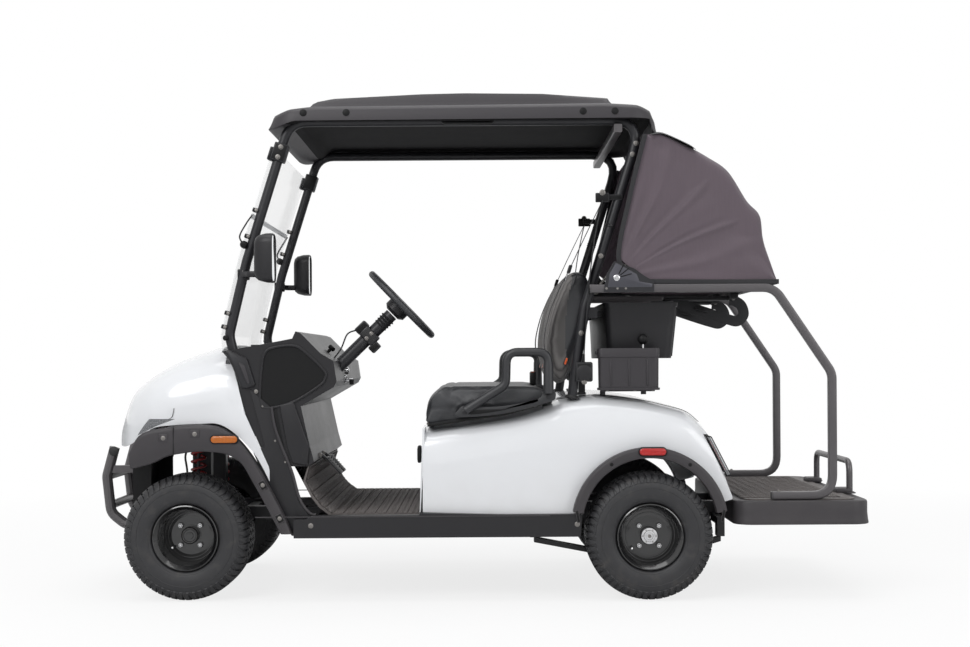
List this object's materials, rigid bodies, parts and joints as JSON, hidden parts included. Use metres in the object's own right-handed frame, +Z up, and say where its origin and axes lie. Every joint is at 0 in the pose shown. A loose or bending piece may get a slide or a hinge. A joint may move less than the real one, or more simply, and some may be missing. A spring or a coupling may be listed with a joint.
{
  "type": "golf cart",
  "caption": "Electric golf cart with roof, fold-down windscreen, bench seat on a lifting lid, rear bag rack and folding bag hood; the wheels roll and steer.",
  "frame": {"origin": "on the ground below the middle of the outline box", "axes": "+X towards the rear of the cart, +Y towards its right side, +Z up"},
  "size_m": [2.8642, 1.28, 1.85],
  "materials": {
    "battery_case": "battery cases",
    "belt_web": "black webbing",
    "body_white": "gloss white moulded panels",
    "bow_metal": "aluminium tube",
    "canvas": "woven hood fabric",
    "dash_black": "fine grained near-black plastic",
    "frame_black": "satin black paint on steel",
    "lamp_clear": "clear lamp lens",
    "lamp_colour": "amber and red lenses",
    "screen": "clear acrylic",
    "seat_black": "black seat cover",
    "trim_grey": "textured charcoal plastic",
    "tyre_rubber": "black rubber"
  },
  "bodies": {
    "chassis": {"chassis_frame": "frame_black", "battery_pack": "battery_case", "floor_pan": "dash_black", "rocker_panels": "trim_grey", "front_cowl": "body_white", "dash": "dash_black", "front_flares": "trim_grey", "front_valance": "dash_black", "front_bumper": "frame_black", "headlights": "lamp_clear", "marker_lamps": "lamp_colour", "rear_body": "body_white", "rear_flares": "trim_grey", "seat_backs": "seat_black", "seat_back_frame": "frame_black", "front_pillars": "frame_black", "rear_pillars": "frame_black", "roof": "trim_grey", "windscreen": "screen", "mirrors": "dash_black", "steering_column": "dash_black", "pedals": "dash_black", "seat_belts": "belt_web", "bag_rack": "frame_black", "footboard": "trim_grey", "basket": "trim_grey", "accessory_box": "trim_grey", "hood_brackets": "frame_black", "hood_canvas": "canvas", "front_suspension": "frame_black", "rear_axle": "frame_black"},
    "seat": {"seat_cushion": "seat_black", "hip_restraints": "bow_metal", "belt_buckles": "lamp_colour"},
    "steering_wheel": {"steering_wheel": "dash_black"},
    "knuckle_left": {"knuckle_left": "frame_black"},
    "knuckle_right": {"knuckle_right": "frame_black"},
    "tie_rod": {"tie_rod": "frame_black"},
    "wheel_front_left": {"tyre_front_left": "tyre_rubber", "rim_front_left": "frame_black"},
    "wheel_front_right": {"tyre_front_right": "tyre_rubber", "rim_front_right": "frame_black"},
    "wheel_rear_left": {"tyre_rear_left": "tyre_rubber", "rim_rear_left": "frame_black"},
    "wheel_rear_right": {"tyre_rear_right": "tyre_rubber", "rim_rear_right": "frame_black"},
    "hood_upper": {"hood_bow_upper": "bow_metal"},
    "hood_lower": {"hood_bow_lower": "bow_metal"}
  },
  "joints": [
    {"name": "steer_left", "type": "hinge", "parent": "chassis", "child": "knuckle_left", "pos_m": [-1.0445, -0.36, 0.23], "axis": [0, 0, 1], "range_deg": [-25, 25]},
    {"name": "steer_right", "type": "hinge", "parent": "chassis", "child": "knuckle_right", "pos_m": [-1.0445, 0.36, 0.23], "axis": [0, 0, 1], "range_deg": [-25.1, 25.1]},
    {"name": "steering_wheel_turn", "type": "hinge", "parent": "chassis", "child": "steering_wheel", "pos_m": [-0.5395, -0.27, 0.82], "axis": [0.7193, 0, 0.6947], "range_deg": [-352, 352]},
    {"name": "tie_rod_eye", "type": "hinge", "parent": "knuckle_left", "child": "tie_rod", "pos_m": [-0.9345, -0.3125, 0.231], "axis": [0, 0, 1], "range_deg": [-28.8, 28.8]},
    {"name": "spin_front_left", "type": "hinge", "parent": "knuckle_left", "child": "wheel_front_left", "pos_m": [-1.0445, -0.44, 0.23], "axis": [0, 1, 0], "continuous": true},
    {"name": "spin_front_right", "type": "hinge", "parent": "knuckle_right", "child": "wheel_front_right", "pos_m": [-1.0445, 0.44, 0.23], "axis": [0, 1, 0], "continuous": true},
    {"name": "spin_rear_left", "type": "hinge", "parent": "chassis", "child": "wheel_rear_left", "pos_m": [0.6355, -0.49, 0.23], "axis": [0, 1, 0], "continuous": true},
    {"name": "spin_rear_right", "type": "hinge", "parent": "chassis", "child": "wheel_rear_right", "pos_m": [0.6355, 0.49, 0.23], "axis": [0, 1, 0], "continuous": true},
    {"name": "seat_lid", "type": "hinge", "parent": "chassis", "child": "seat", "pos_m": [-0.1705, 0, 0.632], "axis": [0, -1, 0], "range_deg": [0, 55]},
    {"name": "hood_lift", "type": "hinge", "parent": "chassis", "child": "hood_lower", "pos_m": [0.5225, 0, 1.163], "axis": [0, -1, 0], "range_deg": [0, 50], "deforming": ["hood_canvas"]},
    {"name": "hood_middle", "type": "hinge", "parent": "chassis", "child": "hood_upper", "pos_m": [0.5225, 0, 1.163], "axis": [0, -1, 0], "range_deg": [0, 25.1]}
  ],
  "couplings": [
    {"joint": "steer_right", "follows": "steer_left", "ratio": 1},
    {"joint": "steering_wheel_turn", "follows": "steer_left", "ratio": 14},
    {"joint": "tie_rod_eye", "follows": "steer_left", "ratio": -1.142},
    {"joint": "hood_middle", "follows": "hood_lift", "ratio": 0.5}
  ]
}
